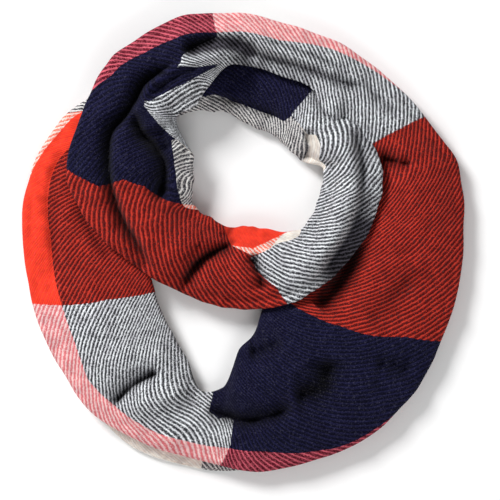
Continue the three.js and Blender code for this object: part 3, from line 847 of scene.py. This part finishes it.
def addLayers(name, s, topMaps):
    # the folded layers under the top fold: lips at both edges and the underside they lie on
    turn = s["turns"][:, None]
    showing = layersShow(turn)
    t = np.linspace(0, 1, layers["sidePoints"])[None, :]
    sides = []
    for k, (rail, inwards) in enumerate(((s["first"], 1), (s["last"], -1))):
        base = s["bases"][k] + layers["seat"]
        ceiling = s["edgeTops"][k] - s["thick"][k] - layers["clearance"]
        lips = np.where(ceiling - base > layers["threeLipsFrom"], 3, 2)
        alongTurn, forward, down = layers["waverPace"]
        noise = softNoise(turn * alongTurn + forward * t, down * t + 0 * turn,
                          layers["waverSize"], layers["seed"] + k)
        front = layers["setBack"] + layers["waver"] * noise - (layers["showing"] * showing if k == 0 else 0)
        hollow = 1 - np.abs(np.sin(math.pi * lips * t)) ** layers["lipShape"]
        d = front + (layers["lipStart"] + layers["lipDepth"] * hollow)
        sides.append((rail + inwards * d, ceiling + (base - ceiling) * t))
    d0, z0 = sides[0]
    d1, z1 = sides[1]
    mid = np.linspace(0, 1, layers["bottomPoints"])[None, 1:-1]
    bottom = d0[:, -1:] + (d1[:, -1:] - d0[:, -1:]) * mid
    bx, by = sectionPlan(turn, bottom)
    under = groundAt(s["ground"], bx, by) + layers["seat"]
    blend = np.minimum(1, np.minimum(bottom - d0[:, -1:], d1[:, -1:] - bottom) / layers["bottomBlend"])
    sideBase = np.where(mid < 0.5, z0[:, -1:], z1[:, -1:])
    under = sideBase + (under - sideBase) * blend
    tuckedIn = layers["tuckedIn"]
    across = np.hstack([s["first"] + tuckedIn, d0, bottom, d1[:, ::-1], s["last"] - tuckedIn])
    z = np.hstack([z0[:, :1], z0, under, z1[:, ::-1], z1[:, :1]])
    topStart = cloth["tuckPoints"] + cloth["rollPoints"]
    top = slice(topStart, topStart + cloth["acrossTop"])
    for k in range(len(z)):
        # stays under the fold that lies on it
        foldAcross, foldTop = s["across"][k, top], s["z"][k, top]
        cover = np.interp(across[k], foldAcross, foldTop) - layers["belowFold"]
        inside = (across[k] > foldAcross[0]) & (across[k] < foldAcross[-1])
        z[k] = np.where(inside, np.minimum(z[k], np.maximum(cover, layers["lowest"])), z[k])
    x, y = sectionPlan(turn, across)
    run = runAcross(sectionSteps(x, y, z))
    # the layers' colours follow from the top fold's, as far as they show
    (c, along), (_, walk) = topMaps["Cloth"], topMaps["Twill"]
    start = c[:, :1] - layers["fromTopFold"]
    checked = name in layers["checked"]
    layerC = start - run if checked else layers["plainAt"] + 0 * run
    far = np.full(run.shape, layers["noCheck"])
    maps = {"Cloth": (layerC, along[:, :1] + layers["furtherAlong"] + 0 * run), "Check": (far, far),
            "Twill": (start - run, walk[:, :1] + 0 * run), "Fold": (0 * run, 0 * run)}
    addPiece(name, "layers", (x, y, z), maps, layers["thickness"], False)


def heightsOf(first, last):
    # the ground that the cloth from one stretch to another makes when laid on the floor
    turns, _ = turnsBetween(stretches[first][0], stretches[last][1])
    s = strandSections(turns, emptyGround())
    level = emptyGround()
    layDown(level, s["x"], s["y"], s["z"])
    return level


def layAll():
    # the first turn and the strand's end lie on the floor, the second turn on what is below it
    for name in ("inner_back", "outer_left", "outer_front", "outer_right"):
        addStretch(name, emptyGround())
    strandEnd = heightsOf("inner_back", "inner_back")
    atBack = softened(np.maximum(heightsOf("outer_left", "outer_front"), strandEnd))
    atFront = softened(heightsOf("outer_left", "outer_right"))
    atRight = softened(heightsOf("outer_front", "outer_right"))
    addStretch("outer_back", atBack)
    addStretch("inner_left", atBack)
    addStretch("inner_front", atFront)
    addStretch("inner_right", atRight)


layAll()
print("scarf laid")

# Floor, lights and camera, in metres. The photograph's frame is frameWidth wide at frameHeight.
studio = {
    "floorSize": 6, "paper": ((0.88, 0.88, 0.88, 1), (0.92, 0.92, 0.92, 1)), "paperScale": 3,
    "paperRoughness": 0.9, "world": (1, 1, 1, 1), "worldStrength": 0.36,
    "key light": {"place": (-2.1, 2.4, 2.3), "size": 1.2, "power": 172},
    "fill light": {"place": (0.6, -2.8, 2.3), "size": 2.4, "power": 56},
    "aim": (0.007, -0.005), "cameraHeight": 2.4, "frameWidth": 0.5, "frameHeight": 0.03, "sensor": 36,
}
bpy.ops.object.select_all(action="DESELECT")
bpy.ops.mesh.primitive_plane_add(size=studio["floorSize"], location=(0, 0, 0))
floor = bpy.context.active_object
floor.name = "floor"
tree = Tree("pale floor")
place = tree.node("ShaderNodeTexCoord", {}, {}, 3)
cloud = tree.node("ShaderNodeTexNoise", {}, {"Vector": place, "Scale": studio["paperScale"]})
paper = tree.node("ShaderNodeBsdfPrincipled", {}, {
    "Base Color": tree.mix(cloud, *studio["paper"]), "Roughness": studio["paperRoughness"]})
tree.node("ShaderNodeOutputMaterial", {}, {"Surface": paper})
floor.data.materials.append(tree.material)

world = bpy.data.worlds.new("studio")
world.use_nodes = True
bpy.context.scene.world = world
background = world.node_tree.nodes["Background"]
background.inputs["Color"].default_value = studio["world"]
background.inputs["Strength"].default_value = studio["worldStrength"]

for name in ("key light", "fill light"):
    # each lamp faces the middle of the scarf
    light = studio[name]
    bpy.ops.object.light_add(type="AREA", location=light["place"])
    lamp = bpy.context.active_object
    lamp.name = name
    lamp.data.size = light["size"]
    lamp.data.energy = light["power"]
    lamp.rotation_euler = (-Vector(light["place"])).to_track_quat("-Z", "Y").to_euler()

aimX, aimY = (aim - middle * mm for aim, middle in zip(studio["aim"], winding["footprintMiddle"]))
bpy.ops.object.camera_add(location=(aimX, aimY, studio["cameraHeight"]))
camera = bpy.context.active_object
camera.rotation_euler = (0, 0, 0)
camera.data.sensor_fit = "HORIZONTAL"
camera.data.sensor_width = studio["sensor"]
camera.data.lens = studio["sensor"] * (studio["cameraHeight"] - studio["frameHeight"]) / studio["frameWidth"]
bpy.context.scene.camera = camera
bpy.context.scene.view_settings.view_transform = "Standard"
print("studio set")
